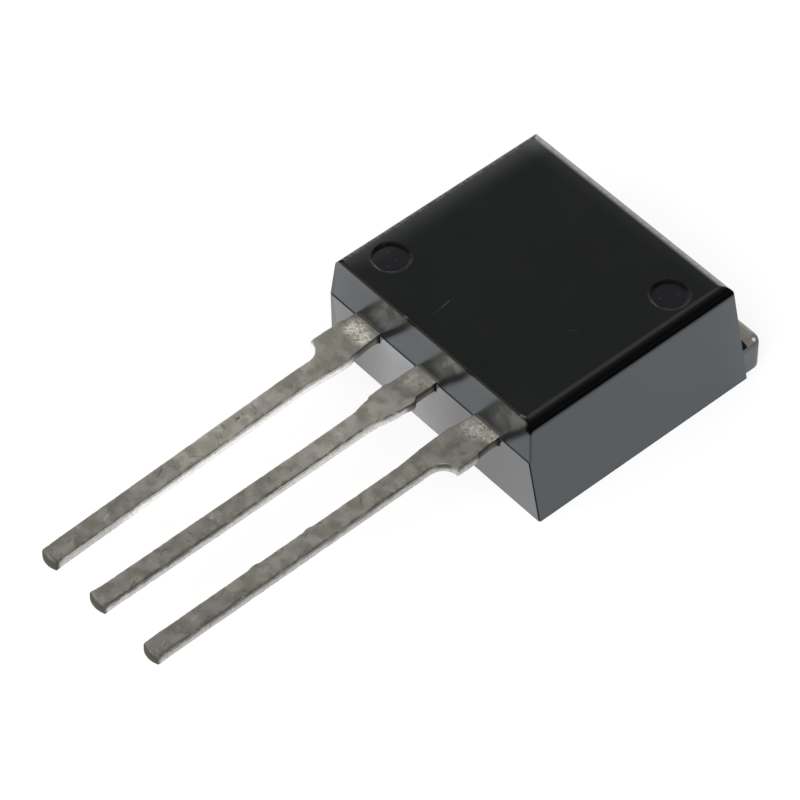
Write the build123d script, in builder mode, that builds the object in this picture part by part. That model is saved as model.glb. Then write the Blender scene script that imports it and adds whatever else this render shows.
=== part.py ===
"""Power MOSFET in a moulded three-lead package with a copper heat-sink tab.

All sizes are in millimetres. Z = 0 is the underside, where the exposed copper lies
flush with the moulding. +Z points to the marking side, the three leads run along -Y
and the heat-sink tab stands out along +Y. X = 0 is the middle of the moulding.
"""

import os
from math import cos, radians, sin, tan

from build123d import *

os.makedirs("parts", exist_ok=True)

# Moulded body
body_width = 10.0           # across the underside, its widest level
body_length = 9.16          # from the front parting edge to the rear lower edge
body_height = 4.4
parting_height = 2.75       # level of the front parting edge
side_draft = 5.7            # degrees, widening all the way down
rear_draft = 6.3            # degrees, widening all the way down
front_upper_draft = 4.6     # degrees, leaning back above the parting edge
front_lower_draft = 4.7     # degrees, going in below the parting edge
parting_step = 0.03         # the lower front stands this far proud of the upper
corner_step = 0.04          # and ends this far short of each side
left_edge_radius = 0.31     # of the marking face's edges
right_edge_radius = 0.38
rear_edge_radius = 0.40
front_edge_radius = 0.08
pin_mark_diameter = 1.24    # ejector-pin marks in the marking face
pin_mark_depth = 0.10
pin_mark_rim_radius = 0.04
pin_mark_margin_side = 1.08 # of each mark's middle from the marking face's sides
pin_mark_margin_front = 1.36
pin_mark_margin_rear = 1.70

# Leads
lead_pitch = 2.54
lead_shift = -0.10          # the leadframe sits this far off the moulding's middle
lead_thickness = 0.40
lead_top = parting_height   # the moulding parts along the leads' upper faces
lead_width = 0.71
lead_length = 13.2          # from the front parting edge to the tip
lead_lean = 1.1             # degrees, all three lean down
gate_lead_bend = 1.6        # degrees, the gate lead bends in towards the middle lead
shoulder_end = 1.75         # from the body to the wide part's end
shoulder_start = 0.95       # from the body to the wide part's full width
shoulder_radius = 0.60      # of the hollow between shoulder and narrow part
outer_root = 0.90           # of an outer lead's sides from its axis, at the body
inner_root = 0.34
outer_shoulder = 0.96
inner_shoulder = 0.46
taper_end = 3.1             # where an outer lead's inner side is down to full narrow
middle_root = 0.49          # the middle lead's half width at the body
middle_shoulder = 0.55
middle_step = 0.07          # its shoulders end in a small step
middle_taper_end = 2.65
lead_edge_radius = 0.10     # the lower edges are rolled by the stamping
lead_top_edge_radius = 0.045
tip_corner_radius = 0.14
tip_crown = 0.13            # how far the sheared end bulges

# Inner ends of the outer leads
post_width = 2.3
post_length = 1.3
post_start = 0.45           # from the front parting edge

# Heat spreader
spreader_thickness = 1.27
spreader_width = 8.0        # inside the moulding and in its underside
spreader_front = 1.55       # from the front parting edge to its front edge
neck_width = 8.9            # where it leaves the moulding
neck_length = 0.6           # inside the moulding
tab_width = 9.66
tab_overhang = 0.85         # past the moulding's rear lower edge
tab_root = 0.09             # the full width starts this far inside the rear lower edge
tab_corner_radius = 0.38
tab_edge_radius = 0.30      # rolled upper edge
pocket_length = 0.27        # pockets in the tab's upper face, beside the moulding
pocket_width = 0.36
pocket_depth = 0.45
pocket_wall = 0.07
drain_ramp = 0.55           # depth of its lead's ramp where it leaves the spreader
ramp_start = 0.5            # from the front parting edge to the ramp's lower bend
ramp_bend = 0.2             # from there to its upper bend
ramp_foot = 0.4             # length of its joint with the spreader
ramp_lip = 0.15

# Die and wires
solder_thickness = 0.05
die_width = 4.0
die_length = 3.4
die_thickness = 0.25
die_back = 3.9              # from the front parting edge to the die's middle
solder_margin = 0.15
gate_wire_diameter = 0.13
source_wire_diameter = 0.38
gate_pad_inset = 0.55       # of the gate wire's foot from the die's side
gate_pad_back = 0.60        # and from its front
gate_foot_offset = 0.55     # of its other foot from the middle of its post
source_pad_inner = 0.30     # of the source wires' feet on the die from X = 0
source_pad_outer = 1.35
source_pad_back = 1.50      # from the die's front
source_foot_inner = -0.65   # of their other feet from the middle of their post
source_foot_outer = 0.35
wire_rise = 0.62            # of a wire's crown above its post
wire_droop = 0.05           # of a wire below its post's face, past its crown
wire_sink = 0.06            # how far a wire's axis ends below the face it is bonded to

front = -body_length / 2
rear = body_length / 2
lead_bottom = lead_top - lead_thickness
lead_start = front - parting_step
die_top = spreader_thickness + solder_thickness + die_thickness
gate_x = lead_shift - lead_pitch
source_x = lead_shift + lead_pitch
lead_plan = Plane((0, front, 0))


def half_width(z):
    return body_width / 2 - z * tan(radians(side_draft))


def rear_face(z):
    return rear - z * tan(radians(rear_draft))


def upper_front_face(z):
    return front + (z - parting_height) * tan(radians(front_upper_draft))


def lower_front_face(z):
    return front + (parting_height - z) * tan(radians(front_lower_draft))


def strip_profile(reach, points, rounded=()):
    """Trim the part being built to a side profile of (y, z) points; rounded is (point, radius) pairs."""
    with BuildSketch(Plane.YZ) as side_view:
        with BuildLine() as outline:
            Polyline(*points, close=True)
        make_face(outline.edges())
        for corner, radius in rounded:
            fillet(side_view.vertices().sort_by_distance(corner)[0], radius)
    extrude(side_view.sketch, amount=reach, both=True, mode=Mode.INTERSECT)


def lean_lead():
    """Make a lead of the plan just extruded: a strip leaning down from the body."""
    tip = front - lead_length - lead_thickness
    drop = (lead_start - tip) * tan(radians(lead_lean))
    strip_profile(
        body_width,
        [
            (lead_start, lead_bottom),
            (tip, lead_bottom - drop),
            (tip, lead_top - drop),
            (lead_start, lead_top),
        ],
    )
    for face, radius in (
        (faces().sort_by(Axis.Z)[0], lead_edge_radius),
        (faces().sort_by(Axis.Z)[-1], lead_top_edge_radius),
    ):
        fillet(face.edges().filter_by(lambda e: e.center().Y < lead_start - 0.001), radius)


def outer_lead_outline(x, side, bend):
    """Plan of an outer lead; side is +1 or -1 for the side its shoulder is on."""
    half = lead_width / 2

    def narrow(across, along):
        turn = radians(bend) * side
        dx, dy = across, -(along - taper_end)
        return (x + dx * cos(turn) + dy * sin(turn), -taper_end - dx * sin(turn) + dy * cos(turn))

    hollow = shoulder_radius * (1 - cos(radians(45)))
    with BuildLine() as outline:
        inner = Polyline(
            narrow(-side * half, taper_end),
            (x - side * inner_shoulder, -shoulder_end),
            (x - side * inner_shoulder, -shoulder_start),
            (x - side * inner_root, -parting_step),
            (x + side * outer_root, -parting_step),
            (x + side * outer_shoulder, -shoulder_start),
            (x + side * outer_shoulder, -shoulder_end),
        )
        arc = ThreePointArc(
            inner @ 1,
            (x + side * (half + hollow), -shoulder_end - hollow),
            (x + side * half, -shoulder_end - shoulder_radius),
        )
        outer = Polyline(
            arc @ 1, narrow(side * half, taper_end), narrow(side * half, lead_length - tip_crown)
        )
        tip = ThreePointArc(
            outer @ 1, narrow(0, lead_length), narrow(-side * half, lead_length - tip_crown)
        )
        Line(tip @ 1, inner @ 0)
    make_face(outline.edges())


def middle_lead_outline(x):
    half = lead_width / 2
    with BuildLine() as outline:
        sides = Polyline(
            (x - half, -lead_length + tip_crown),
            (x - half, -middle_taper_end),
            (x - middle_shoulder + middle_step, -shoulder_end),
            (x - middle_shoulder, -shoulder_end),
            (x - middle_shoulder, -shoulder_start),
            (x - middle_root, -parting_step),
            (x + middle_root, -parting_step),
            (x + middle_shoulder, -shoulder_start),
            (x + middle_shoulder, -shoulder_end),
            (x + middle_shoulder - middle_step, -shoulder_end),
            (x + half, -middle_taper_end),
            (x + half, -lead_length + tip_crown),
        )
        ThreePointArc(sides @ 1, (x, -lead_length), sides @ 0)
    make_face(outline.edges())


def round_tip():
    tips = vertices().filter_by(lambda v: v.Y < -lead_length + tip_crown + 0.05)
    fillet(tips, tip_corner_radius)


def post_sketch(x):
    """Inner end of an outer lead: a neck and a wide pad for the bond wires."""
    with Locations((x, (lead_start + front + post_start) / 2)):
        Rectangle(inner_root + outer_root, front + post_start - lead_start)
    with Locations((x, front + post_start + post_length / 2)):
        Rectangle(post_width, post_length)


with BuildPart() as gate_lead:
    with BuildSketch(lead_plan):
        outer_lead_outline(gate_x, -1, gate_lead_bend)
        round_tip()
    extrude(amount=body_height)
    lean_lead()
    with BuildSketch(Plane.XY.offset(lead_bottom)):
        post_sketch(gate_x - (outer_root - inner_root) / 2)
    extrude(amount=lead_thickness)

with BuildPart() as source_lead:
    with BuildSketch(lead_plan):
        outer_lead_outline(source_x, 1, 0)
        round_tip()
    extrude(amount=body_height)
    lean_lead()
    with BuildSketch(Plane.XY.offset(lead_bottom)):
        post_sketch(source_x + (outer_root - inner_root) / 2)
    extrude(amount=lead_thickness)

with BuildPart() as heat_spreader:
    # Spreader plate and tab
    with BuildSketch(Plane.XY):
        plate_end = rear - neck_length
        with Locations((0, (front + spreader_front + plate_end) / 2)):
            Rectangle(spreader_width, plate_end - front - spreader_front)
        with Locations((0, (plate_end + rear - tab_root) / 2)):
            Rectangle(neck_width, rear - tab_root - plate_end)
        with Locations((0, rear + (tab_overhang - tab_root) / 2)):
            Rectangle(tab_width, tab_overhang + tab_root)
    extrude(amount=spreader_thickness)
    corners = edges().filter_by(Axis.Z).filter_by(lambda e: e.center().Y > rear + tab_overhang - 0.01)
    fillet(corners, tab_corner_radius)
    rim = faces().sort_by(Axis.Z)[-1].edges().filter_by(lambda e: e.center().Y > rear - tab_root + 0.01)
    fillet(rim, tab_edge_radius)
    with BuildSketch(Plane.XY.offset(spreader_thickness)):
        pocket_x = tab_width / 2 - pocket_wall - pocket_width / 2
        with Locations(
            (-pocket_x, rear - tab_root + pocket_length / 2),
            (pocket_x, rear - tab_root + pocket_length / 2),
        ):
            Rectangle(pocket_width, pocket_length)
    extrude(amount=-pocket_depth, mode=Mode.SUBTRACT)
    # Ramp from the plate up to the middle lead
    ramp_x = 2 * middle_root
    with BuildSketch(Plane.YZ.offset(lead_shift - ramp_x / 2)):
        foot = front + spreader_front
        with BuildLine():
            Polyline(
                (lead_start, lead_bottom),
                (front + ramp_start, lead_bottom),
                (foot, spreader_thickness - drain_ramp),
                (foot + ramp_foot, spreader_thickness - drain_ramp),
                (foot + ramp_foot, spreader_thickness),
                (foot + ramp_lip, spreader_thickness),
                (front + ramp_start + ramp_bend, lead_top),
                (lead_start, lead_top),
                close=True,
            )
        make_face()
    extrude(amount=ramp_x)

with BuildPart() as drain_lead:
    with BuildSketch(lead_plan):
        middle_lead_outline(lead_shift)
        round_tip()
    extrude(amount=body_height)
    lean_lead()

with heat_spreader:
    add(drain_lead.part)

with BuildPart() as die_attach:
    with Locations((0, front + die_back, spreader_thickness)):
        Box(
            die_width + 2 * solder_margin,
            die_length + 2 * solder_margin,
            solder_thickness,
            align=(Align.CENTER, Align.CENTER, Align.MIN),
        )

with BuildPart() as silicon_die:
    with Locations((0, front + die_back, spreader_thickness + solder_thickness)):
        Box(die_width, die_length, die_thickness, align=(Align.CENTER, Align.CENTER, Align.MIN))


def bond_wire(start, end, diameter):
    """A looped wire from a post to the die, running a little into both."""
    x0, y0 = start
    x1, y1 = end
    with BuildLine():
        path = Spline(
            (x0, y0, lead_top - wire_sink),
            (x0 + (x1 - x0) * 0.30, y0 + (y1 - y0) * 0.30, lead_top + wire_rise),
            (x0 + (x1 - x0) * 0.72, y0 + (y1 - y0) * 0.72, lead_top - wire_droop),
            (x1, y1, die_top - wire_sink),
        )
    with BuildSketch(Plane(origin=path @ 0, z_dir=path % 0)) as section:
        Circle(diameter / 2)
    sweep(section.sketch, path=path)


post_y = front + post_start + post_length * 0.55
gate_post_x = gate_x - (outer_root - inner_root) / 2
source_post_x = source_x + (outer_root - inner_root) / 2
die_front = front + die_back - die_length / 2

with BuildPart() as gate_wire:
    bond_wire(
        (gate_post_x + gate_foot_offset, post_y),
        (-die_width / 2 + gate_pad_inset, die_front + gate_pad_back),
        gate_wire_diameter,
    )
    add(gate_lead.part, mode=Mode.SUBTRACT)
    add(silicon_die.part, mode=Mode.SUBTRACT)

with BuildPart() as source_wire_inner:
    bond_wire(
        (source_post_x + source_foot_inner, post_y),
        (source_pad_inner, die_front + source_pad_back),
        source_wire_diameter,
    )
    add(source_lead.part, mode=Mode.SUBTRACT)
    add(silicon_die.part, mode=Mode.SUBTRACT)

with BuildPart() as source_wire_outer:
    bond_wire(
        (source_post_x + source_foot_outer, post_y),
        (source_pad_outer, die_front + source_pad_back),
        source_wire_diameter,
    )
    add(source_lead.part, mode=Mode.SUBTRACT)
    add(silicon_die.part, mode=Mode.SUBTRACT)


with BuildPart() as lower_front:
    # The lower mould half's face, standing proud of the rest up to the parting edge
    joint = front + body_length / 8
    with BuildSketch(Plane.XZ.offset(-front)):
        with BuildLine():
            low_half, high_half = half_width(0) - corner_step, half_width(parting_height) - corner_step
            Polyline(
                (-low_half, 0),
                (low_half, 0),
                (high_half, parting_height),
                (-high_half, parting_height),
                close=True,
            )
        make_face()
    extrude(amount=body_length, both=True)
    strip_profile(
        body_width,
        [
            (front - parting_step, parting_height),
            (lower_front_face(0) - parting_step, 0),
            (joint, 0),
            (joint, parting_height),
        ],
    )


with BuildPart() as moulded_body:
    with BuildSketch(Plane.XZ):
        with BuildLine():
            Polyline(
                (-half_width(0), 0),
                (half_width(0), 0),
                (half_width(body_height), body_height),
                (-half_width(body_height), body_height),
                close=True,
            )
        make_face()
        top = half_width(body_height)
        for x, radius in ((-top, left_edge_radius), (top, right_edge_radius)):
            fillet(vertices().sort_by_distance((x, body_height))[0], radius)
    extrude(amount=body_length, both=True)
    strip_profile(
        body_width,
        [
            (lower_front_face(0), 0),
            (front, parting_height),
            (upper_front_face(body_height), body_height),
            (rear_face(body_height), body_height),
            (rear, 0),
        ],
        rounded=[
            ((upper_front_face(body_height), body_height), front_edge_radius),
            ((rear_face(body_height), body_height), rear_edge_radius),
        ],
    )
    add(lower_front.part)
    # Ejector-pin marks
    mark_x = top - pin_mark_margin_side
    marks = [
        (-mark_x, upper_front_face(body_height) + pin_mark_margin_front),
        (mark_x, rear_face(body_height) - pin_mark_margin_rear),
    ]
    with BuildSketch(Plane.XY.offset(body_height)):
        with Locations(*marks):
            Circle(pin_mark_diameter / 2)
    extrude(amount=-pin_mark_depth, mode=Mode.SUBTRACT)
    rims = edges().filter_by(GeomType.CIRCLE).filter_by(lambda e: e.center().Z > body_height - 0.001)
    fillet(rims.filter_by(lambda e: abs(e.radius - pin_mark_diameter / 2) < 0.001), pin_mark_rim_radius)
    # Everything moulded in
    for inner in (heat_spreader, gate_lead, source_lead, die_attach, silicon_die):
        add(inner.part, mode=Mode.SUBTRACT)
    for inner in (gate_wire, source_wire_inner, source_wire_outer):
        add(inner.part, mode=Mode.SUBTRACT)

moulded_body.part.label = "moulded_body"
heat_spreader.part.label = "heat_spreader"
gate_lead.part.label = "gate_lead"
source_lead.part.label = "source_lead"
die_attach.part.label = "die_attach"
silicon_die.part.label = "silicon_die"
gate_wire.part.label = "gate_wire"
source_wire_inner.part.label = "source_wire_inner"
source_wire_outer.part.label = "source_wire_outer"

export_step(moulded_body.part, "parts/moulded_body.step")
export_step(heat_spreader.part, "parts/heat_spreader.step")
export_step(gate_lead.part, "parts/gate_lead.step")
export_step(source_lead.part, "parts/source_lead.step")
export_step(die_attach.part, "parts/die_attach.step")
export_step(silicon_die.part, "parts/silicon_die.step")
export_step(gate_wire.part, "parts/gate_wire.step")
export_step(source_wire_inner.part, "parts/source_wire_inner.step")
export_step(source_wire_outer.part, "parts/source_wire_outer.step")
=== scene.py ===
"""Power MOSFET in a three-lead moulded package: looks, light and camera.

The part lies on its heat-sink face on a white table. Lengths are in millimetres, and MM turns
them into the metres of the frame and of Blender. Materials are procedural and read object
coordinates. "along" is the distance from the body's front parting edge towards a lead's tip,
and "across" is the distance from a lead's own middle line.
"""

from math import cos, radians, sin, sqrt, tan
from types import SimpleNamespace

import bmesh
import bpy
from mathutils import Matrix, Vector, noise


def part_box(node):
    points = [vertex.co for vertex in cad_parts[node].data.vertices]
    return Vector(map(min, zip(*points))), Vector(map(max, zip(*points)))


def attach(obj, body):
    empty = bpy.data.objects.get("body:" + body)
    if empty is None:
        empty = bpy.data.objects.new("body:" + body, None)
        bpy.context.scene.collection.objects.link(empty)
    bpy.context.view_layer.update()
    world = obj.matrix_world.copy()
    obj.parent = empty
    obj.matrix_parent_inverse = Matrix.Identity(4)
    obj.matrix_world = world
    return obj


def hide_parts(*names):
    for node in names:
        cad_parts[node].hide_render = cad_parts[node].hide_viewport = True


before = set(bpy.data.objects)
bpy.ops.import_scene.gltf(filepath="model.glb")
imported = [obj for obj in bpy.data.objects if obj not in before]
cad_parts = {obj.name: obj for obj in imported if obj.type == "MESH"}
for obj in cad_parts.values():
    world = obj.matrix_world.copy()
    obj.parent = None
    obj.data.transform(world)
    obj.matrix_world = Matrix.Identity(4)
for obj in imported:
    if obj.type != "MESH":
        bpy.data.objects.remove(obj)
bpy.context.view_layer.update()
MM = 0.001

scene = bpy.context.scene
scene.view_settings.view_transform = "Standard"

# ---------------------------------------------------------------- sizes

body_lo, body_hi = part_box("moulded_body")
LEDGE = 0.03  # the lower front stands this far proud of the parting edge
PARTING = 2.75  # level of the parting edge
front = body_lo.y + LEDGE * MM  # the front parting edge, in metres
FRONT, REAR, SIDE, TOP = front / MM, body_hi.y / MM, body_hi.x / MM, body_hi.z / MM
SIDE_DRAFT, REAR_DRAFT, UPPER_DRAFT, LOWER_DRAFT = (radians(a) for a in (5.7, 6.3, 4.6, 4.7))
TOP_HALF = (body_hi.x - body_hi.z * tan(SIDE_DRAFT)) / MM  # half the top face
PIN_MARKS = ((-3.48, -3.087), (3.48, 2.394))  # middles of the ejector-pin marks

PITCH, SHIFT = 2.54, -0.10  # of the leads: their pitch and the middle one's X
GATE_X, SOURCE_X = SHIFT - PITCH, SHIFT + PITCH
LEAN, GATE_BEND = tan(radians(1.1)), tan(radians(1.6))  # their slope down, the gate lead's bend
HALF, THICK = 0.355, 0.40  # half the narrow part's width, and the thickness
SHOULDER, TAPER, MIDDLE_TAPER = 1.75, 3.1, 2.65  # where their wide parts end
HOLLOW = 0.60  # radius of the hollow behind an outer lead's shoulder
GATE_LENGTH, SOURCE_LENGTH, DRAIN_LENGTH = 13.31, 13.24, 13.24  # to the crown of each tip

# ---------------------------------------------------------------- camera

FOCAL, SENSOR, DISTANCE = 193.1, 36, 134.22
azimuth, elevation, roll = radians(49.63), radians(49.39), radians(-0.86)
back = Vector((sin(azimuth) * cos(elevation), -cos(azimuth) * cos(elevation), sin(elevation)))
level = Vector((cos(azimuth), sin(azimuth), 0))
upright = back.cross(level)
right = level * cos(roll) + upright * sin(roll)
up = upright * cos(roll) - level * sin(roll)
target = Vector((0, body_hi.y - 9.188 * MM, 2.5 * MM)) - right * 0.876 * MM - up * 0.541 * MM

camera = bpy.data.objects.new("camera", bpy.data.cameras.new("camera"))
scene.collection.objects.link(camera)
scene.camera = camera
camera.data.lens = FOCAL
camera.data.sensor_width = SENSOR
camera.data.clip_start = 0.01
camera.data.clip_end = 10
stand = Matrix((right, up, back)).transposed().to_4x4()
stand.translation = target + back * DISTANCE * MM
camera.matrix_world = stand


# ---------------------------------------------------------------- node helpers


class Nodes:
    """A short way to write a node tree."""

    def __init__(self, tree):
        self.tree = tree
        tree.nodes.clear()

    def add(self, kind, inputs=None, **settings):
        node = self.tree.nodes.new(kind)
        for key, value in settings.items():
            setattr(node, key, value)
        for key, value in (inputs or {}).items():
            self.put(node.inputs[key], value)
        return node

    def put(self, socket, value):
        if isinstance(value, bpy.types.NodeSocket):
            self.tree.links.new(value, socket)
        elif isinstance(value, bpy.types.Node):
            self.tree.links.new(value.outputs[0], socket)
        else:
            socket.default_value = value

    # Numbers

    def math(self, operation, a, b=0.0):
        return self.add("ShaderNodeMath", {0: a, 1: b}, operation=operation).outputs[0]

    def times(self, *values):
        product = values[0]
        for value in values[1:]:
            product = self.math("MULTIPLY", product, value)
        return product

    def plus(self, *values):
        total = values[0]
        for value in values[1:]:
            total = self.math("ADD", total, value)
        return total

    def larger(self, a, b):
        return self.math("MAXIMUM", a, b)

    def absolute(self, value):
        return self.math("ABSOLUTE", value)

    def range(self, value, a, b, c=0.0, d=1.0, smooth=True):
        """Map a..b onto c..d, clamped at both ends."""
        node = self.add(
            "ShaderNodeMapRange",
            {0: value, 1: a, 2: b, 3: c, 4: d},
            interpolation_type="SMOOTHSTEP" if smooth else "LINEAR",
        )
        return node.outputs[0]

    def lerp(self, factor, a, b):
        return self.plus(a, self.times(factor, self.plus(b, self.times(a, -1))))

    def noise(self, vector, scale, detail=2.0, roughness=0.5, distortion=0.0):
        settings = {
            "Vector": vector,
            "Scale": scale,
            "Detail": detail,
            "Roughness": roughness,
            "Distortion": distortion,
        }
        return self.add("ShaderNodeTexNoise", settings).outputs[0]

    # Vectors and places, in millimetres

    def vector(self, operation, *values, output=0):
        node = self.add("ShaderNodeVectorMath", dict(enumerate(values)), operation=operation)
        return node.outputs[output]

    def object_mm(self):
        coords = self.add("ShaderNodeTexCoord").outputs["Object"]
        return self.scaled(coords, 1000, 1000, 1000)

    def normal(self):
        return self.add("ShaderNodeTexCoord").outputs["Normal"]

    def split(self, vector):
        return self.add("ShaderNodeSeparateXYZ", {0: vector}).outputs

    def scaled(self, vector, *factors):
        return self.vector("MULTIPLY", vector, factors)

    def towards(self, vector, direction):
        """How far a vector goes in a direction."""
        return self.vector("DOT_PRODUCT", vector, Vector(direction).normalized(), output="Value")

    def away(self, vector, point):
        """Distance from a point."""
        return self.vector("DISTANCE", vector, point, output="Value")

    def beside(self, vector, start, end):
        """Distance in plan from the line between two points."""
        ax, ay = start
        dx, dy = end[0] - ax, end[1] - ay
        length = sqrt(dx * dx + dy * dy)
        spoke = self.scaled(self.vector("SUBTRACT", vector, (ax, ay, 0)), 1, 1, 0)
        along = self.towards(spoke, (dx, dy, 0))
        past = self.larger(self.plus(along, -length), self.larger(self.times(along, -1), 0.0))
        across = self.towards(spoke, (-dy, dx, 0))
        return self.math("SQRT", self.plus(self.times(past, past), self.times(across, across)))

    # Colours

    def mix(self, factor, a, b):
        node = self.add("ShaderNodeMix", data_type="RGBA")
        self.put(node.inputs["Factor"], factor)
        for socket, value in zip([s for s in node.inputs if s.type == "RGBA"], (a, b)):
            self.put(socket, value)
        return next(s for s in node.outputs if s.type == "RGBA")

    def dimmed(self, colour, factor):
        node = self.add("ShaderNodeVectorMath", {0: colour}, operation="SCALE")
        self.put(node.inputs["Scale"], factor)
        return node.outputs[0]

    def plus_colour(self, colour, amount, tint):
        """A colour with an amount of another one added."""
        return self.vector("ADD", colour, self.dimmed(tint[:3], amount))

    def combine(self, r, g, b):
        return self.add("ShaderNodeCombineColor", {0: r, 1: g, 2: b}).outputs[0]

    # The surface

    def bump(self, height, distance, strength=1.0, normal=None):
        inputs = {"Height": height, "Distance": distance, "Strength": strength}
        if normal is not None:
            inputs["Normal"] = normal
        return self.add("ShaderNodeBump", inputs).outputs[0]

    def surface(self, shader):
        self.add("ShaderNodeOutputMaterial", {"Surface": shader.outputs[0]})


def new_material(name):
    material = bpy.data.materials.new(name)
    material.use_nodes = True
    return material, Nodes(material.node_tree)


def grey(value):
    return (value, value, value, 1)


# ---------------------------------------------------------------- moulding compound


def lead_reflection_masks(n, mm, x, z, cloud):
    """Masks on the upper front over the leads: painted shade, the film and the lip of painted
    reflection, and where the leads are.

    The painted shade takes gloss away and leans to the right as it rises; the film is a pale
    painted reflection of the leads below the marking face, and the lip a pale painted
    reflection just above each lead.
    """
    gloss_shade, film_reflection, lip_reflection, over_leads = 0.0, 0.0, 0.0, 0.0
    slant = n.plus(x, n.times(n.plus(z, -PARTING), -0.75))
    for lead_x, reach, film_reflection_tone, lip_reflection_tone in (
        (GATE_X - 0.30, 0.62, 0.052, 0.020),
        (SHIFT, 0.50, 0.060, 0.060),
        (SOURCE_X + 0.28, 0.62, 0.050, 0.038),
    ):
        off = n.plus(slant, -lead_x)
        # The painted shade: a low part over the lead and a part that runs up past its right-hand
        # side
        over = n.range(off, -reach - 0.05, -reach + 0.06)
        over = n.times(over, n.range(off, reach + 0.45, reach + 0.15))
        over = n.times(over, n.range(n.plus(z, n.times(off, 0.6)), 3.65, 2.95))
        over = n.times(over, n.range(z, PARTING + 0.08, PARTING + 0.28))
        past = n.range(off, reach - 0.10, reach + 0.08)
        past = n.times(past, n.range(off, reach + 0.42, reach + 0.18))
        past = n.times(past, n.range(z, 5.2, 3.4, 0.5, 1.0))
        gloss_shade = n.plus(gloss_shade, n.larger(over, past))
        within = n.range(n.absolute(off), reach + 0.02, reach - 0.08)
        over_leads = n.plus(over_leads, within)
        lip_reflection = n.plus(lip_reflection, n.times(within, lip_reflection_tone))
        # The film of painted reflection: paler still in a spot at its upper left
        middle = n.absolute(n.plus(off, -0.14))
        film_reflection = n.plus(film_reflection, n.times(n.range(middle, reach, reach - 0.35), film_reflection_tone))
        spot = n.range(off, -reach, -reach + 0.25)
        spot = n.times(spot, n.range(off, -reach + 0.60, -reach + 0.20))
        film_reflection = n.plus(film_reflection, n.times(spot, n.range(z, 3.75, 4.25), 0.04))
    smear = n.noise(n.scaled(mm, 1, 1, 0.7), 2.6, 3, 0.6)
    film_reflection = n.times(film_reflection, n.range(z, 3.05, 4.15), n.range(z, 4.36, 4.28))
    film_reflection = n.times(film_reflection, n.range(cloud, 0.30, 0.60, 0.55, 1.0))
    film_reflection = n.times(film_reflection, n.range(smear, 0.38, 0.60, 0.50, 1.60))
    lip_reflection = n.times(lip_reflection, n.range(z, PARTING + 0.32, PARTING + 0.06))
    return gloss_shade, film_reflection, lip_reflection, over_leads


def pin_mark_masks(n, mm, z):
    """Masks of the ejector-pin marks: wall in painted shade, rim side in wear and painted
    highlight, whole rim and floor.
    """
    shade, worn, rim, floor = 0.0, 0.0, 0.0, 0.0
    for mark_x, mark_y in PIN_MARKS:
        spoke = n.vector("SUBTRACT", mm, (mark_x, mark_y, TOP))
        reach = n.vector("LENGTH", n.scaled(spoke, 1, 1, 0), output="Value")
        aside = n.towards(spoke, (-0.76, 0.65, 0))
        wall = n.times(n.range(reach, 0.44, 0.58), n.range(reach, 0.66, 0.62))
        shade = n.plus(shade, n.times(wall, n.range(aside, 0.05, 0.45)))
        wear = n.times(n.range(reach, 0.50, 0.61), n.range(reach, 0.75, 0.64))
        worn = n.plus(worn, n.times(wear, n.range(aside, 0.25, -0.30)))
        rim = n.plus(rim, n.times(n.range(reach, 0.56, 0.60), n.range(reach, 0.69, 0.65)))
        floor = n.plus(floor, n.range(reach, 0.60, 0.45))
    marks_zone = n.range(z, 4.23, 4.26)
    return (n.times(mask, marks_zone) for mask in (shade, worn, rim, floor))


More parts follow.
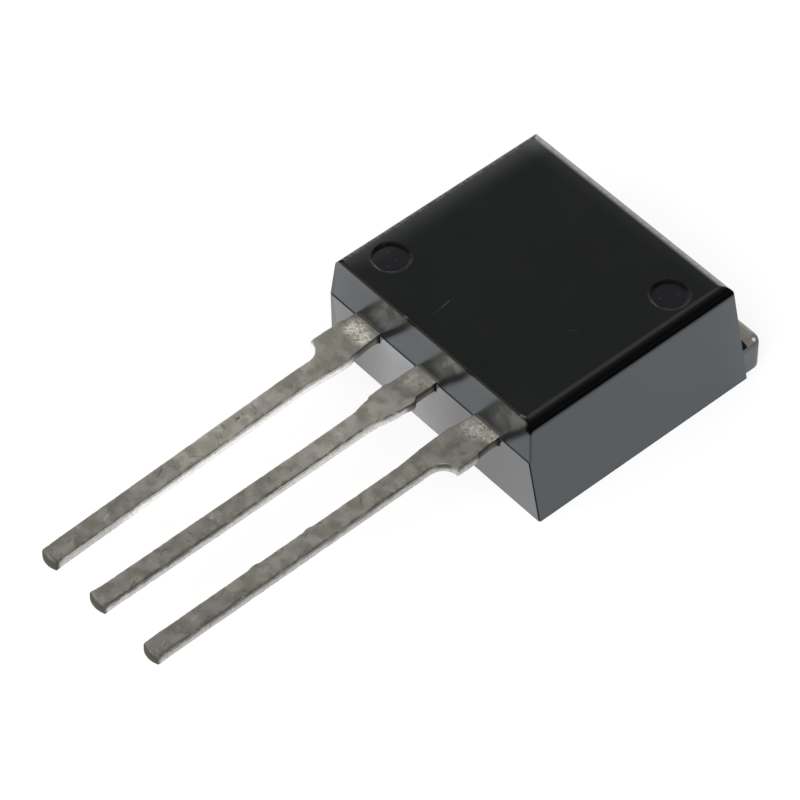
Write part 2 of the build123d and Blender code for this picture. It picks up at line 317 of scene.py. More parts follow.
def epoxy_material():
    """Polished black moulding compound; the lower mould half left its front a little duller, and a
    paler middle is painted on that front as light.
    """
    material, n = new_material("epoxy")
    mm = n.object_mm()
    x, y, z = n.split(mm)
    nx, ny, _ = n.split(n.normal())
    cloud = n.noise(mm, 0.45, 3, 0.55)
    specks = n.noise(mm, 7, 2, 0.6)
    grain = n.noise(mm, 16, 2, 0.6)

    # The two front faces, each by the depth behind its own plane, and the ledge between them
    into, above = n.plus(y, -FRONT), n.plus(z, -PARTING)
    behind_upper = n.plus(into, n.times(above, -tan(UPPER_DRAFT)))
    behind_lower = n.plus(into, n.times(above, tan(LOWER_DRAFT)))
    upper_front = n.times(n.range(above, 0.004, 0.012), n.range(behind_upper, 0.04, 0.01))
    lower_front = n.times(n.range(above, -0.004, -0.02), n.range(behind_lower, 0.012, 0.004))
    ledge = n.times(n.range(n.absolute(above), 0.006, 0.003), n.range(into, 0.01, 0.0))

    # The right-hand side, its corner with the front and the step at the corner's foot
    outwards = n.plus(x, n.times(z, tan(SIDE_DRAFT)))
    flank = n.plus(SIDE, n.times(outwards, -1))  # depth behind the side
    right_side = n.range(flank, 0.03, 0.01)
    # A painted shadow line at the corner's step, mostly by taking the gloss away
    step = n.times(lower_front, n.range(flank, 0.075, 0.045))
    # Painted shade along the front's right-hand corner, by less gloss
    corner = n.plus(n.larger(behind_upper, 0.0), n.larger(flank, 0.0))
    corner = n.times(n.range(corner, 0.11, 0.02), n.range(above, -0.05, 0.1))

    # The top's rolled edges: painted shade at the right and at the front, where the gloss is taken
    # away; at the left painted shade and at the rear a painted highlight, both worn in specks; and
    # the foot, worn in specks
    top_zone = n.range(z, 3.96, 4.12)
    right_roll = n.times(n.range(n.plus(x, -TOP_HALF), -0.27, -0.05), n.range(z, 3.86, 4.10))
    right_roll = n.times(right_roll, n.range(flank, 0.55, 0.3))
    front_roll = n.times(n.range(behind_upper, 0.14, 0.06), n.range(z, 4.30, 4.36))
    left_roll = n.times(top_zone, n.range(nx, -0.005, -0.06))
    rear_roll = n.times(top_zone, n.range(ny, 0.08, 0.40), n.range(specks, 0.38, 0.62, 0.3, 1.5))
    foot = n.times(n.range(z, 0.08, 0.02), n.range(specks, 0.50, 0.62))

    gloss_shade, film_reflection, lip_reflection, over_leads = lead_reflection_masks(n, mm, x, z, cloud)
    gloss_shade, film_reflection, lip_reflection = (n.times(mask, upper_front) for mask in (gloss_shade, film_reflection, lip_reflection))
    # Painted shade along the parting edge away from the leads, by less gloss
    seam = n.times(upper_front, n.range(above, 0.09, 0.01), n.range(over_leads, 1.0, 0.0))
    shade, worn, rim, floor = pin_mark_masks(n, mm, z)

    colour = n.mix(cloud, (0.0085, 0.0090, 0.0094, 1), (0.0112, 0.0116, 0.0118, 1))
    # The lower front: a little greyer, with a paler middle that is painted light
    lower_front_grey_and_light = n.range(n.absolute(n.plus(x, 1.25)), 3.0, 0.3, 0.006, 0.200)
    colour = n.mix(lower_front, colour, n.plus(lower_front_grey_and_light, n.times(cloud, 0.02)))
    # Pale painted reflections of the leads on the upper front
    colour = n.plus_colour(colour, film_reflection, (1.0, 0.97, 0.86, 1))
    colour = n.plus_colour(colour, lip_reflection, (1.0, 0.93, 0.84, 1))
    # Painted light on the ledge: a paler colour that softens its dark line
    colour = n.mix(ledge, colour, grey(0.045))
    # Painted shade: the right roll and the corner's step darker
    colour = n.mix(right_roll, colour, grey(0.0028))
    colour = n.mix(step, colour, grey(0.012))
    colour = n.mix(n.times(floor, 0.5), colour, (0.0145, 0.0130, 0.0185, 1))
    # Painted shade on the pin marks' walls
    colour = n.mix(shade, colour, grey(0.0025))
    colour = n.mix(n.times(rim, 0.10), colour, (0.060, 0.058, 0.055, 1))
    # The rims across from the shade: wear in specks and a painted highlight
    wear = n.times(worn, n.range(specks, 0.34, 0.62, 0.25, 0.85))
    colour = n.mix(wear, colour, (0.050, 0.047, 0.056, 1))
    dust = n.times(n.plus(floor, rim), n.range(specks, 0.64, 0.72))
    colour = n.mix(n.times(dust, 0.6), colour, (0.070, 0.066, 0.064, 1))

    # Handling marks: two chips in the front edge, a scratch in two strokes and a faint dash
    for start, end, width, tone in (
        ((-1.30, -4.42), (-1.20, -4.40), 0.042, 0.055),
        ((4.10, -4.42), (4.24, -4.37), 0.055, 0.065),
        ((-0.80, -3.33), (-0.86, -2.96), 0.030, 0.045),
        ((-0.79, -3.68), (-0.80, -3.33), 0.022, 0.028),
        ((2.49, -1.01), (2.73, -0.81), 0.022, 0.028),
    ):
        mark = n.range(n.beside(mm, start, end), width, width * 0.3)
        colour = n.mix(n.times(mark, n.range(z, 4.33, 4.37)), colour, grey(tone))

    # The gloss: bluish on the sides and on the upper front, lost where the surface is worn, and
    # taken away or raised for painted shade and highlights
    shade_unglossed = n.larger(right_roll, n.larger(step, shade))
    gloss = n.plus(
        0.5,
        n.times(lower_front, 0.24),
        n.times(upper_front, n.range(x, 2.9, 4.3), -0.05),
        n.times(right_side, -0.065),
        n.times(shade_unglossed, -0.48),
        n.times(gloss_shade, -0.38),
        n.times(rim, -0.34),
        n.times(seam, -0.12),
        n.times(corner, -0.22),
        n.times(left_roll, n.range(specks, 0.38, 0.62, -0.42, -0.35)),
        n.times(left_roll, n.range(nx, -0.06, -0.40), -0.06),
        n.times(rear_roll, 0.42),
        n.times(foot, -0.28),
        n.times(front_roll, -0.40),
    )
    tint = n.mix(n.larger(top_zone, lower_front), (0.77, 0.91, 1.0, 1), (0.95, 0.97, 0.96, 1))
    rough = n.plus(
        n.range(cloud, 0.3, 0.7, 0.06, 0.10), n.times(lower_front, 0.08), n.times(upper_front, 0.10)
    )

    # The top sinks a little over the last millimetre before its left and rear edges
    rear_line = n.plus(y, n.times(z, tan(REAR_DRAFT)), -REAR)
    dip = n.plus(
        n.times(n.math("POWER", n.range(x, 1.1 - TOP_HALF, -TOP_HALF, 0, 1, False), 2), 0.9),
        n.times(n.math("POWER", n.range(rear_line, -1.0, 0.0, 0, 1, False), 2), 0.7),
    )
    relief = n.bump(n.times(dip, -1), 0.00006)

    shader = n.add("ShaderNodeBsdfPrincipled", {"Base Color": colour, "Roughness": rough})
    shader.inputs["IOR"].default_value = 1.75
    n.put(shader.inputs["Specular Tint"], tint)
    n.put(shader.inputs["Specular IOR Level"], n.larger(gloss, 0.0))
    n.put(shader.inputs["Normal"], n.bump(grain, 0.0000006, normal=relief))
    n.surface(shader)
    return material


# ---------------------------------------------------------------- tinned copper


def tin_fields(n):
    """The masks and noises that the parts of the tin share.

    "depth" is the distance below the leads' upper faces, "side" marks faces that stand
    upright, and "end" marks the sheared ends, whose middles reach 13.2 to 13.3 along.
    """
    f = SimpleNamespace(mm=n.object_mm())
    f.x, y, z = n.split(f.mm)
    f.along = n.plus(FRONT, n.times(y, -1))
    f.depth = n.plus(PARTING + LEDGE * LEAN, n.times(f.along, -LEAN), n.times(z, -1))
    f.nx, ny, f.nz = n.split(n.normal())
    f.steep = n.absolute(f.nz)
    f.side = n.range(f.steep, 0.80, 0.45)
    f.end = n.times(n.range(n.absolute(ny), 0.28, 0.75), n.range(f.along, 12.6, 12.9))
    f.end = n.larger(f.end, n.times(f.side, n.range(f.along, 13.02, 13.16)))
    f.gate, f.source = n.range(f.x, -1.2, -1.6), n.range(f.x, 1.1, 1.5)
    drain = n.plus(1, n.times(f.gate, -1), n.times(f.source, -1))
    f.mottle = n.noise(f.mm, 2.4, 3, 0.5)
    f.grain = n.noise(f.mm, 13, 2, 0.6)
    f.ragged = n.noise(n.scaled(f.mm, 1, 0.6, 1.4), 4.2, 3, 0.6)

    def by_lead(first, middle, last):
        return n.plus(n.times(f.gate, first), n.times(drain, middle), n.times(f.source, last))

    f.by_lead = by_lead
    return f


def nicks_and_dents(n, f):
    """Short scars in three directions, in clumps: raised bright ones and sunk dark ones."""
    x, y, z = n.split(f.mm)
    nicks, dents = 0.0, 0.0
    for turn, offset in ((0.5, 0.0), (-0.9, 7.3), (1.5, 15.1)):
        a = n.plus(n.times(x, cos(turn)), n.times(y, sin(turn)), offset)
        b = n.plus(n.times(x, -sin(turn)), n.times(y, cos(turn)))
        stretched = {0: n.times(a, 6.5), 1: n.times(b, 2.2), 2: z}
        spots = n.noise(n.add("ShaderNodeCombineXYZ", stretched).outputs[0], 1.0, 1, 0.4)
        nicks = n.plus(nicks, n.range(spots, 0.66, 0.78))
        dents = n.plus(dents, n.range(spots, 0.35, 0.24))
    flat = n.times(
        n.range(f.side, 0.5, 0.1), n.range(f.along, 1.8, 3.2, 0.25, 1.0), n.range(f.along, 0.9, 1.4)
    )
    clump = n.noise(n.scaled(f.mm, 1, 0.8, 1), 1.3, 2, 0.5)
    nicks = n.times(nicks, flat, n.range(clump, 0.47, 0.60))
    dents = n.times(dents, flat, n.range(clump, 0.60, 0.47))
    return nicks, dents


def upper_faces(n, f, nicks, dents):
    """Warm, olive and rosy clouds; each lead lightens and darkens along its length."""
    patches = n.noise(f.mm, 0.9, 2, 0.5)
    tops = n.mix(n.range(f.mottle, 0.36, 0.64), (0.244, 0.229, 0.198, 1), (0.358, 0.342, 0.307, 1))
    tops = n.mix(n.times(n.range(patches, 0.48, 0.62), 0.5), tops, (0.290, 0.286, 0.232, 1))
    tops = n.mix(n.times(n.range(patches, 0.46, 0.34), 0.6), tops, (0.318, 0.288, 0.266, 1))
    tops = n.mix(n.times(n.range(f.grain, 0.56, 0.74), 0.20), tops, (0.46, 0.44, 0.40, 1))
    tops = n.mix(n.times(n.range(f.grain, 0.42, 0.28), 0.25), tops, (0.17, 0.16, 0.13, 1))

    def near(middle, reach, core):
        return n.range(n.absolute(n.plus(f.along, -middle)), reach, core)

    gate = n.plus(
        1.10, n.times(near(6, 2.8, 0.4), 0.33), n.times(n.range(f.along, 8, 10.5), -0.25)
    )
    drain = n.plus(
        1.20,
        n.times(n.range(f.along, 3.5, 8.5), -0.34),
        n.times(n.range(f.along, 10, 12.5), 0.05),
    )
    source = n.plus(
        0.95, n.times(near(5.5, 3, 0), 0.06), n.times(n.range(f.along, 8, 12), -0.15)
    )
    tops = n.dimmed(tops, f.by_lead(gate, drain, source))
    tops = n.mix(n.times(nicks, 0.34), tops, (0.58, 0.56, 0.51, 1))
    tops = n.mix(n.times(dents, 0.48), tops, (0.12, 0.11, 0.092, 1))

    # Tarnish creeps in from the right-hand edge
    bend = n.times(n.larger(n.plus(f.along, -TAPER), 0.0), GATE_BEND)
    axis = f.by_lead(n.plus(GATE_X, bend), SHIFT, SOURCE_X)
    across = n.plus(f.x, n.times(axis, -1))
    creep = n.range(n.plus(across, n.times(f.ragged, 0.50)), 0.47, 0.58)
    creep = n.times(creep, n.range(f.along, 2.2, 3.2))
    return n.mix(n.times(creep, f.by_lead(0.35, 0.62, 0.58)), tops, (0.12, 0.112, 0.094, 1))


def upright_sides(n, f):
    """Dull next to the upper edge and pale below it, most of all on the gate lead."""
    fade = n.range(f.along, 4.0, 9.5)
    shaded = n.times(n.range(f.along, 2.6, 2.0), -0.28)
    dull = n.times(n.range(f.along, 9.8, 11.2), -0.42)
    upper_tone = f.by_lead(0.46, n.plus(0.46, n.times(fade, -0.30), shaded), 0.20)
    lower_tone = f.by_lead(n.plus(0.98, dull), n.plus(0.71, n.times(fade, -0.12)), 0.48)
    height = n.times(n.plus(f.ragged, -0.5), f.by_lead(0.15, 0.30, 0.30))
    height = n.plus(f.depth, height)
    tone = n.lerp(n.range(height, 0.06, 0.22), upper_tone, lower_tone)
    tone = n.times(tone, n.plus(n.times(n.range(f.grain, 0.36, 0.60), 0.25), 0.85))
    return n.combine(tone, n.times(tone, 0.985), n.times(tone, 0.95))


def darkened(n, f, colour):
    """The moulding's painted reflection on sides beside it, painted shade on edges, and the ends.
    """
    # A painted dark reflection of the moulding on the sides and undersides next to it, darkest at
    # the root
    reach = f.by_lead(1.12, 1.32, 0.92)
    moulding_reflection = n.plus(f.along, n.times(reach, -1), n.times(f.ragged, 0.4))
    moulding_reflection = n.times(n.range(moulding_reflection, 0.35, 0.08), n.larger(f.side, n.range(f.nz, -0.1, -0.3)))
    moulding_reflection = n.times(moulding_reflection, n.range(f.along, -0.6, -0.4))
    moulding_reflection_tone = n.mix(
        n.range(f.depth, 0.04, 0.30), (0.056, 0.050, 0.043, 1), (0.150, 0.136, 0.116, 1)
    )
    moulding_reflection_tone = n.dimmed(moulding_reflection_tone, f.by_lead(1.25, 1.0, 1.0))
    colour = n.mix(n.times(moulding_reflection, 0.92), colour, moulding_reflection_tone)
    colour = n.mix(n.times(moulding_reflection, n.range(f.along, 0.20, 0.06)), colour, grey(0.016))

    # Painted shade at the top of the hollow behind the source lead's shoulder
    hollow_shade = n.times(f.source, n.range(f.along, 1.76, 1.84), n.range(f.along, 2.30, 2.05))
    hollow_shade = n.times(hollow_shade, n.range(f.depth, 0.30, 0.14), f.side)
    hollow_shade = n.times(hollow_shade, n.range(f.x, SOURCE_X + 0.3, SOURCE_X + 0.4))
    colour = n.mix(n.times(hollow_shade, 0.85), colour, (0.055, 0.052, 0.043, 1))

    # Painted shade on the rolled upper edges, in streaks
    streak = n.noise(n.scaled(f.mm, 1, 0.5, 1), 3.5, 3, 0.6)
    edge = n.times(n.range(f.steep, 0.985, 0.90), n.range(f.steep, 0.20, 0.45))
    edge = n.times(edge, n.range(f.depth, 0.14, 0.09), n.range(streak, 0.40, 0.54))
    weight = n.larger(f.by_lead(0.60, 0.9, 0.85), n.times(n.range(f.nx, 0.0, -0.3), 0.9))
    colour = n.mix(n.times(edge, weight), colour, (0.085, 0.080, 0.066, 1))

    # The rolled upper edge of each sheared end, darkened as painted shade, and the end itself
    brim_shade = n.times(n.range(f.along, 12.80, 13.02), n.range(f.steep, 0.995, 0.95))
    brim_shade = n.times(brim_shade, n.range(f.nz, 0.0, 0.2))
    colour = n.mix(n.times(brim_shade, 0.75), colour, (0.115, 0.112, 0.092, 1))
    sheared = n.mix(f.mottle, (0.050, 0.051, 0.040, 1), (0.094, 0.093, 0.076, 1))
    return n.mix(f.end, colour, sheared)


def root_swirls(n, f):
    """Swirls of brighter metal with painted highlights on the first millimetre outside the
    moulding.
    """
    swirl = n.noise(f.mm, 3.1, 2, 0.6, 1.1)
    fine = n.noise(f.mm, 6.0, 2, 0.6, 0.8)
    ridge = n.plus(
        n.times(n.range(n.absolute(n.plus(swirl, -0.5)), 0.085, 0.0), 0.65),
        n.times(n.range(n.absolute(n.plus(fine, -0.52)), 0.085, 0.0), 0.55),
    )
    ridge = n.math("MINIMUM", ridge, 1.0)
    glow = 0.0
    for spot_x, spot_along, reach, strength in (
        (GATE_X - 0.40, 0.40, 0.52, 1.0),
        (GATE_X + 0.02, 0.50, 0.46, 1.0),
        (SHIFT - 0.05, 0.40, 0.60, 0.35),
        (SOURCE_X + 0.10, 0.35, 0.65, 0.60),
        (SOURCE_X + 0.62, 0.20, 0.42, 0.60),
    ):
        gap = n.away(n.scaled(f.mm, 1, 1, 0), (spot_x, FRONT - spot_along, 0))
        glow = n.larger(glow, n.times(n.range(gap, reach, reach * 0.25), strength))
    glow = n.times(glow, n.range(f.side, 0.6, 0.1), n.range(f.along, -0.02, 0.02))
    return glow, ridge


def spreader_faces(n, f):
    """The heat spreader's tab and underside: flat milled copper under duller tin."""
    worn = n.noise(n.scaled(f.mm, 0.8, 5, 0.8), 2.2, 3, 0.6)
    plate = n.mix(n.range(worn, 0.3, 0.7), (0.290, 0.268, 0.236, 1), (0.345, 0.322, 0.288, 1))
    edges = n.mix(f.mottle, (0.104, 0.116, 0.114, 1), (0.154, 0.166, 0.164, 1))
    under = n.mix(n.range(worn, 0.3, 0.7), (0.40, 0.385, 0.36, 1), (0.52, 0.505, 0.475, 1))
    plate = n.mix(f.side, plate, edges)
    plate = n.mix(n.range(f.nz, -0.5, -0.9), plate, under)
    # A painted highlight near the tab's corner
    glint = n.range(n.away(f.mm, (4.70, 5.12, 1.25)), 0.10, 0.05)
    return n.mix(glint, plate, grey(0.95)), glint


def tin_material():
    """Satin tin over stamped copper, clouded on top, with ragged sides and bright swirls, partly
    painted highlights.
    """
    material, n = new_material("tin")
    f = tin_fields(n)
    nicks, dents = nicks_and_dents(n, f)
    glow, ridge = root_swirls(n, f)

    colour = n.mix(f.side, upper_faces(n, f, nicks, dents), upright_sides(n, f))
    colour = darkened(n, f, colour)
    # The swirls: brighter metal, and painted highlights on their ridges
    colour = n.mix(n.times(glow, 0.62), colour, (0.40, 0.355, 0.28, 1))
    colour = n.mix(n.times(glow, ridge, 0.95), colour, (0.98, 0.94, 0.86, 1))

    # The tops darken where they rise to the moulding, and a painted shadow lies along their roots
    flat = n.range(f.side, 0.6, 0.1)
    rising = n.times(n.range(f.along, 0.60, 0.10), flat, n.range(f.along, -0.6, -0.4))
    colour = n.dimmed(colour, n.plus(1, n.times(rising, f.by_lead(-0.16, -0.26, -0.24))))
    root_shadow = n.times(n.range(n.plus(f.along, n.times(f.ragged, -0.12)), 0.12, 0.0), flat)
    root_shadow = n.times(root_shadow, f.by_lead(0.35, 0.10, 0.10), n.range(f.along, -0.05, 0.0))
    colour = n.mix(root_shadow, colour, (0.045, 0.038, 0.032, 1))

    plate, glint = spreader_faces(n, f)
    colour = n.mix(n.range(f.along, -0.8, -1.2), colour, plate)

    rough = n.range(f.mottle, 0.3, 0.7, 0.44, 0.54)
    rough = n.plus(rough, n.times(f.end, 0.1), n.times(glow, -0.08))
    relief = n.bump(n.plus(f.mottle, n.times(ridge, glow), nicks, n.times(dents, -1)), 0.000006)
    relief = n.bump(f.ragged, 0.000014, n.plus(0.08, n.times(f.side, 0.92)), relief)
    shader = n.add("ShaderNodeBsdfPrincipled", {"Base Color": colour, "Roughness": rough})
    n.put(shader.inputs["Metallic"], n.plus(0.80, n.times(glow, -0.25), n.times(glint, -0.5)))
    n.put(shader.inputs["Normal"], n.bump(f.grain, 0.0000015, normal=relief))
    n.surface(shader)
    return material


# ---------------------------------------------------------------- parts held inside


def inner_material(name, low, high, metallic, roughness, scale):
    """A part hidden in the moulding: a clouded colour, its sheen varied by a finer grain."""
    material, n = new_material(name)
    mm = n.object_mm()
    cloud = n.noise(mm, scale, 3, 0.55)
    grain = n.noise(mm, scale * 6, 2, 0.6)
    shader = n.add("ShaderNodeBsdfPrincipled", {"Metallic": metallic})
    n.put(shader.inputs["Base Color"], n.mix(n.range(cloud, 0.3, 0.7), low, high))
    n.put(shader.inputs["Roughness"], n.range(grain, 0.3, 0.7, roughness, roughness + 0.12))
    n.put(shader.inputs["Normal"], n.bump(grain, 0.000002))
    n.surface(shader)
    return material


def dress(node, material):
    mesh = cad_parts[node].data
    mesh.materials.clear()
    mesh.materials.append(material)


epoxy = epoxy_material()
tin = tin_material()
solder = inner_material("solder", (0.34, 0.34, 0.35, 1), (0.46, 0.46, 0.47, 1), 0.9, 0.38, 1.6)
silicon = inner_material("silicon", (0.17, 0.18, 0.21, 1), (0.24, 0.25, 0.29, 1), 0.7, 0.16, 0.8)
aluminium = inner_material("aluminium", (0.72, 0.72, 0.73, 1), (0.82, 0.82, 0.83, 1), 1, 0.28, 5)

dress("moulded_body", epoxy)
dress("die_attach", solder)
dress("silicon_die", silicon)
for node in ("gate_wire", "source_wire_inner", "source_wire_outer"):
    dress(node, aluminium)

# ---------------------------------------------------------------- leads

POST_START, POST_END = -0.45, -1.75  # of the bonding posts inside the moulding
POST_HALF, POST_OFFSET = 1.15, 0.28  # half a post's width, and how far outwards it sits
STRIP_END = -0.3  # the middle lead's strip goes this far into the heat spreader's own lead,
CUT = 0.05  # which is cut off this far inside the moulding
TOP_ROLL, LOWER_ROLL, TIP_ROLL = 0.045, 0.10, 0.07  # radii of the long edges and at the tip
INSIDE_ROLL = 0.004  # and of all edges inside the moulding
TIP_LEFT, TIP_RIGHT = 0.085, 0.045  # radii of the tip's corners in plan
TIP_REACH = 0.35  # over which the edges' radii change into the tip's
CROWN, CROWN_REACH = 0.11, 0.6  # how far the sheared end bulges, and over what length
CHIP_REACH = 0.09  # how far the chips of the upper edges reach in
ROOT_START = -0.016  # the top is level again further inside the moulding
ROOT_LIFT, ROOT_REACH = 0.06, 0.5  # how far a lead's top rises to the moulding, and from where

# Places of the vertices next to an edge: across from the side, and down from the top
NEAR = (0, 0.006, 0.014, 0.026, 0.045, 0.07, 0.11)
DOWN = (0, -0.006, -0.014, -0.026, -0.045, -0.2, -0.3, -0.335, -0.362, -0.383, -0.395, -THICK)
BETWEEN = 6  # vertices between the two sets of NEAR


def between(along, points):
    """The value at "along" on a line through (along, value) points."""
    for (a0, v0), (a1, v1) in zip(points, points[1:]):
        if along <= a1:
            return v0 + (v1 - v0) * max(0, along - a0) / max(1e-9, a1 - a0)
    return points[-1][1]


def bump_at(along, middle, reach, height):
    t = (along - middle) / reach
    return height * (1 - t * t) ** 2 if abs(t) < 1 else 0


def shoulder_side(along):
    """Half width on the side of an outer lead that has the shoulder."""
    if along < SHOULDER:
        return between(along, [(LEDGE, 0.90), (0.95, 0.96), (SHOULDER, 0.96)])
    if along < SHOULDER + HOLLOW:
        return HALF + HOLLOW - sqrt(max(0, HOLLOW**2 - (SHOULDER + HOLLOW - along) ** 2))
    return HALF


def inner_side(along):
    return between(along, [(LEDGE, 0.34), (0.95, 0.46), (SHOULDER, 0.46), (TAPER, HALF)])


def past_root(along, amount):
    """An amount that comes in over the first part of a lead outside the moulding."""
    return amount * min(1, max(0, along - LEDGE) / ROOT_REACH)


# Half widths of each lead, with the burrs and wear of its own edges


def gate_outer(along):
    lump = bump_at(along, 0.62, 0.16, 0.03) + bump_at(along, 0.35, 0.1, -0.02)
    corner = 0.05 * max(0, 1 - (SHOULDER - along) / 0.12) ** 2 if along < SHOULDER else 0
    return shoulder_side(along) + lump - corner + past_root(along, 0.040)


def gate_inner(along):
    points = [(LEDGE, 0.03), (0.4, 0.10), (1.05, 0.11), (1.3, 0.03), (2.0, 0.025)]
    return inner_side(along) - between(along, points)


def source_inner(along):
    lumps = bump_at(along, 6.7, 0.22, 0.05) + bump_at(along, 8.8, 0.3, 0.05)
    return inner_side(along) + lumps + past_root(along, 0.02)


def source_outer(along):
    points = [(LEDGE, 0.025), (0.35, 0.085), (0.8, 0.075), (0.95, 0.0)]
    return shoulder_side(along) - between(along, points)


def drain_left(along):
    points = [(LEDGE, 0.49), (0.4, 0.545), (1.05, 0.55), (1.22, 0.615), (1.45, 0.60)]
    points += [(1.88, 0.585), (2.0, 0.505), (2.3, 0.465), (MIDDLE_TAPER, 0.385)]
    points += [(3.3, 0.37), (4.6, HALF)]
    flare = 0.05 * max(0, (along - 12.55) / 0.5) ** 2
    return between(along, points) + flare


def drain_right(along):
    points = [(LEDGE, 0.445), (0.4, 0.44), (0.8, 0.445), (0.95, 0.565), (1.08, 0.575)]
    points += [(1.3, 0.52), (1.6, 0.505), (1.9, 0.465), (2.3, 0.375), (MIDDLE_TAPER, HALF)]
    return between(along, points)


def with_post(side, outer):
    """A lead's half width with its bonding post behind the moulding's front."""

    def half(along):
        if along <= POST_START:
            return POST_HALF + POST_OFFSET if outer else POST_HALF - POST_OFFSET
        return side(max(along, LEDGE))

    return half


def stations(inner_end, tip):
    """Places of the cross-sections along a lead, closer together where its outline turns."""
    places = {inner_end, inner_end + 0.01, POST_START - 0.002, POST_START}
    places |= {-0.03, -0.01, 0.0, LEDGE, 0.06, 0.94, 0.95, 0.96}
    places = {p for p in places if p >= inner_end}
    places |= {SHOULDER + s for s in (-0.06, -0.03, -0.012, 0, 0.02)} | {TAPER, MIDDLE_TAPER}
    places |= {SHOULDER + HOLLOW * (1 - cos(radians(a))) for a in range(4, 91, 4)}
    places |= {tip - g for g in (0, 0.008, 0.02, 0.035, 0.055, 0.08, 0.11, 0.14)}
    places |= {i * 0.04 for i in range(1, int(tip / 0.04) - 3)}
    return sorted(places)


def rolled_point(p, lo, hi, radii):
    """Move a point of a box's surface onto the box with elliptic rounded edges."""
    core = [min(max(v, a + r), b - r) for v, a, b, r in zip(p, lo, hi, radii)]
    q = [(v - c) / r for v, c, r in zip(p, core, radii)]
    size = sqrt(sum(v * v for v in q))
    return p if size < 1e-9 else [c + r * v / size for c, r, v in zip(core, radii, q)]


def spread(x0, x1):
    """Places of the vertices from one side of a lead to the other."""
    gap = (x1 - x0 - 2 * NEAR[-1]) / (BETWEEN + 1)
    inner = [x0 + NEAR[-1] + gap * i for i in range(1, BETWEEN + 1)]
    return [x0 + s for s in NEAR] + inner + [x1 - s for s in reversed(NEAR)]


def lead_mesh(name, middle, left, right, bend, length, inner_end, seed):
    """A stamped lead: a closed strip of cross-sections with rolled edges and a sheared tip.

    left and right give the half widths at a station; bend slides the part past TAPER sideways.
    """
    bm = bmesh.new()
    tip = length - CROWN

    def sides(along):
        """Both sides of a station; outside the moulding they wander and are ragged."""
        x0, x1 = -left(along), right(along)
        if along > LEDGE:
            wobble, ragged = Vector((along * 2.6, seed, 0)), Vector((along * 11, seed, 4))
            other = Vector((0, 9, 0))
            x0 += 0.012 * noise.noise(wobble) + 0.007 * noise.noise(ragged)
            x1 += 0.014 * noise.noise(wobble + other) + 0.008 * noise.noise(ragged + other)
        return x0, x1

    def radii_at(x, along, z, x0, x1):
        """Radii of the rounded edges next to a point, along x, y and z."""
        if along <= LEDGE:
            return INSIDE_ROLL, INSIDE_ROLL, INSIDE_ROLL
        tip_share = min(1, max(0, (along - tip + TIP_REACH) / TIP_REACH)) ** 2
        roll = TOP_ROLL if z > -THICK / 2 else LOWER_ROLL
        corner = TIP_LEFT if x < (x0 + x1) / 2 else TIP_RIGHT
        return roll + (corner - roll) * tip_share, corner, roll + (TIP_ROLL - roll) * tip_share

    def place(x, along, z, x0, x1):
        """The vertex for a point of the plain strip."""
        radii = radii_at(x, along, z, x0, x1)
        px, pa, pz = rolled_point((x, along, z), (x0, inner_end, -THICK), (x1, tip, 0), radii)
        # The sheared end bulges, most of all at its middle
        if along > tip - CROWN_REACH:
            blend = (1 - min(1, (tip - along) / CROWN_REACH)) ** 2
            across = 2 * (px - x0) / (x1 - x0) - 1
            pa += CROWN * (1 - across**2) * blend * (0.8 + 0.2 * (1 - (2 * pz / THICK + 1) ** 2))
        # The upper edges are chipped
        edge = min(px - x0, x1 - px)
        if along > LEDGE and edge < CHIP_REACH and pz > -THICK / 2:
            chip = noise.noise(Vector((pa * 7, seed + (5 if px > middle else 0), 7)))
            pz -= (0.016 * max(0, chip) + 0.004 * chip) * (1 - edge / CHIP_REACH)
        # The top rises to the moulding
        if pa > ROOT_START:
            rise = (1 - min(1, max(0, pa) / ROOT_REACH)) ** 2
            pz += ROOT_LIFT * rise * (1 + pz / THICK)
        shift = max(0, pa - TAPER) * bend
        top = PARTING - max(0, pa - LEDGE) * LEAN
        return bm.verts.new(((middle + px + shift) * MM, front - pa * MM, (top + pz) * MM))

    def ring_at(along):
        """A cross-section's outline: over the top, down one side, back below, up the other."""
        x0, x1 = sides(along)
        ring = [(x, 0.0) for x in spread(x0, x1)]
        ring += [(x1, z) for z in DOWN[1:-1]]
        ring += [(x, -THICK) for x in reversed(spread(x0, x1))]
        ring += [(x0, z) for z in reversed(DOWN[1:-1])]
        return [place(x, along, z, x0, x1) for x, z in ring]

    def close(ring, along):
        """Fill an end of the strip with a grid inside its outline."""
        x0, x1 = sides(along)
        wide, deep = len(NEAR) * 2 + BETWEEN, len(DOWN)
        rows = [ring[:wide]]
        for k, z in enumerate(DOWN[1:-1]):
            row = [place(x, along, z, x0, x1) for x in spread(x0, x1)[1:-1]]
            rows.append([ring[-1 - k]] + row + [ring[wide + k]])
        rows.append(ring[wide + deep - 2 : 2 * wide + deep - 2][::-1])
        for upper, lower in zip(rows, rows[1:]):
            for i in range(wide - 1):
                bm.faces.new((upper[i], upper[i + 1], lower[i + 1], lower[i]))

    places = stations(inner_end, tip)
    rings = [ring_at(along) for along in places]
    for a, b in zip(rings, rings[1:]):
        for i in range(len(a)):
            j = (i + 1) % len(a)
            bm.faces.new((a[i], b[i], b[j], a[j]))
    close(rings[0], places[0])
    close(rings[-1], places[-1])
    bmesh.ops.recalc_face_normals(bm, faces=bm.faces)
    mesh = bpy.data.meshes.new(name)
    bm.to_mesh(mesh)
    bm.free()
    for polygon in mesh.polygons:
        polygon.use_smooth = True
    return mesh


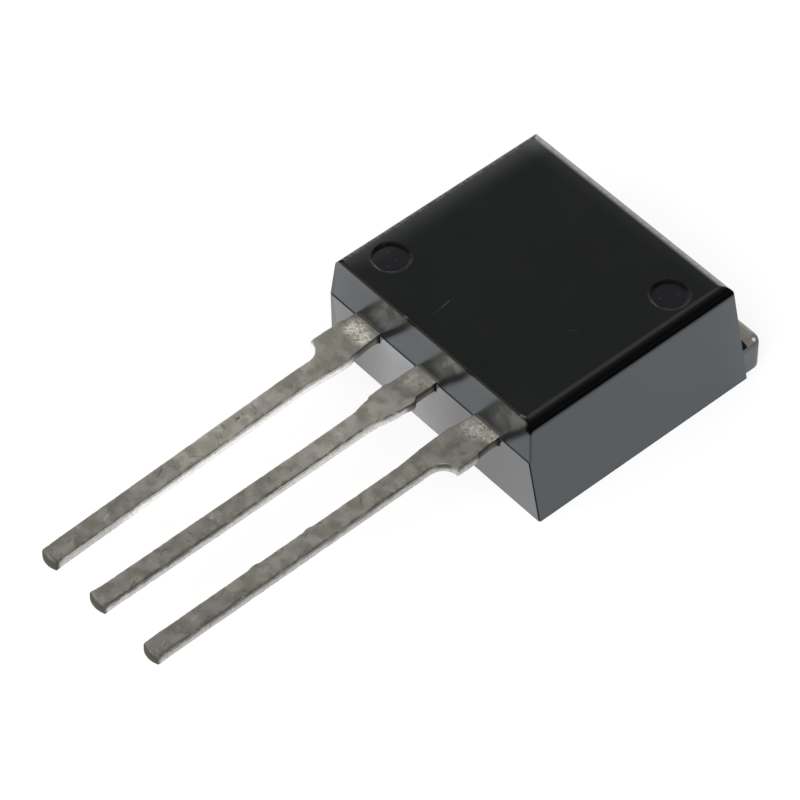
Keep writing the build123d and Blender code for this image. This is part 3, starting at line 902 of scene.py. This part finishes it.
def spreader_mesh(strip):
    """The heat spreader with its tab and ramp, joined to the middle lead inside the moulding."""
    bm = bmesh.new()
    bm.from_mesh(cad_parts["heat_spreader"].data)
    bmesh.ops.bisect_plane(
        bm,
        geom=bm.verts[:] + bm.edges[:] + bm.faces[:],
        plane_co=(0, front + CUT * MM, 0),
        plane_no=(0, -1, 0),
        clear_outer=True,
    )
    bmesh.ops.holes_fill(bm, edges=[e for e in bm.edges if e.is_boundary])
    for face in bm.faces:
        face.smooth = True
    for edge in bm.edges:
        if len(edge.link_faces) == 2 and edge.calc_face_angle() > radians(30):
            edge.smooth = False
    bm.from_mesh(strip)
    bmesh.ops.recalc_face_normals(bm, faces=bm.faces)
    mesh = bpy.data.meshes.new("spreader_metal")
    bm.to_mesh(mesh)
    bm.free()
    return mesh


def add_piece(name, mesh, node, material):
    piece = bpy.data.objects.new(name, mesh)
    scene.collection.objects.link(piece)
    mesh.materials.append(material)
    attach(piece, "root")
    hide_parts(node)
    return piece


gate_sides = with_post(gate_outer, True), with_post(gate_inner, False)
source_sides = with_post(source_inner, False), with_post(source_outer, True)
gate_mesh = lead_mesh("gate_metal", GATE_X, *gate_sides, GATE_BEND, GATE_LENGTH, POST_END, 1)
source_mesh = lead_mesh("source_metal", SOURCE_X, *source_sides, 0, SOURCE_LENGTH, POST_END, 2)
drain_sides = drain_left, drain_right
drain_mesh = lead_mesh("drain_strip", SHIFT, *drain_sides, 0, DRAIN_LENGTH, STRIP_END, 3)
add_piece("gate_metal", gate_mesh, "gate_lead", tin)
add_piece("source_metal", source_mesh, "source_lead", tin)
add_piece("spreader_metal", spreader_mesh(drain_mesh), "heat_spreader", tin)

# ---------------------------------------------------------------- table and light

TABLE_GAP = 0.02  # keeps the table's face clear of the underside


def table_material():
    """White paper that keeps its shadows and looks plain white where it is seen directly."""
    material, n = new_material("table")
    paper = n.noise(n.object_mm(), 0.06, 2, 0.5)
    diffuse = n.add("ShaderNodeBsdfDiffuse", {"Color": n.mix(paper, grey(0.29), grey(0.31))})
    path = n.add("ShaderNodeLightPath")
    seen = n.larger(path.outputs["Is Camera Ray"], path.outputs["Is Glossy Ray"])
    seen = n.larger(seen, path.outputs["Is Transmission Ray"])
    glow = n.add("ShaderNodeEmission", {"Color": grey(1), "Strength": n.times(seen, 0.74)})
    n.surface(n.add("ShaderNodeAddShader", {0: diffuse.outputs[0], 1: glow.outputs[0]}))
    return material


def make_table():
    mesh = bpy.data.meshes.new("table")
    bm = bmesh.new()
    bmesh.ops.create_grid(bm, x_segments=8, y_segments=8, size=1.5)
    bm.to_mesh(mesh)
    bm.free()
    table = bpy.data.objects.new("table", mesh)
    scene.collection.objects.link(table)
    table.location.z = body_lo.z - TABLE_GAP * MM
    mesh.materials.append(table_material())


def make_world():
    """A dim studio: soft walls of light at the front left, the front right and the rear left."""
    world = bpy.data.worlds.new("studio")
    scene.world = world
    world.use_nodes = True
    n = Nodes(world.node_tree)
    direction = n.add("ShaderNodeTexCoord").outputs["Generated"]
    _, _, z = n.split(direction)

    def light(towards, start, full, strength):
        return n.range(n.towards(direction, towards), start, full, 0.0, strength)

    front_left = light((-0.55, -0.72, 0.42), 0.35, 0.92, 0.9)
    front_right = light((0.50, -0.60, 0.60), 0.50, 0.90, 2.2)
    rear_left = n.times(light((-0.80, 0.58, 0.12), 0.74, 0.97, 1.8), n.range(z, 0.82, 0.52))
    overhead = light((-0.06, 0.42, 0.905), 0.93, 0.99, 0.26)
    # A pale band next to the table, away from the rear right
    low = n.times(n.range(z, 0.16, 0.02, 0.0, 0.5), light((0.8, 0.6, 0), 0.7, 0.3, 1.0))
    strength = n.plus(front_left, front_right, rear_left, low, overhead, 0.06)
    background = n.add("ShaderNodeBackground", {"Color": grey(1), "Strength": strength})
    n.add("ShaderNodeOutputWorld", {"Surface": background.outputs[0]})


make_table()
make_world()
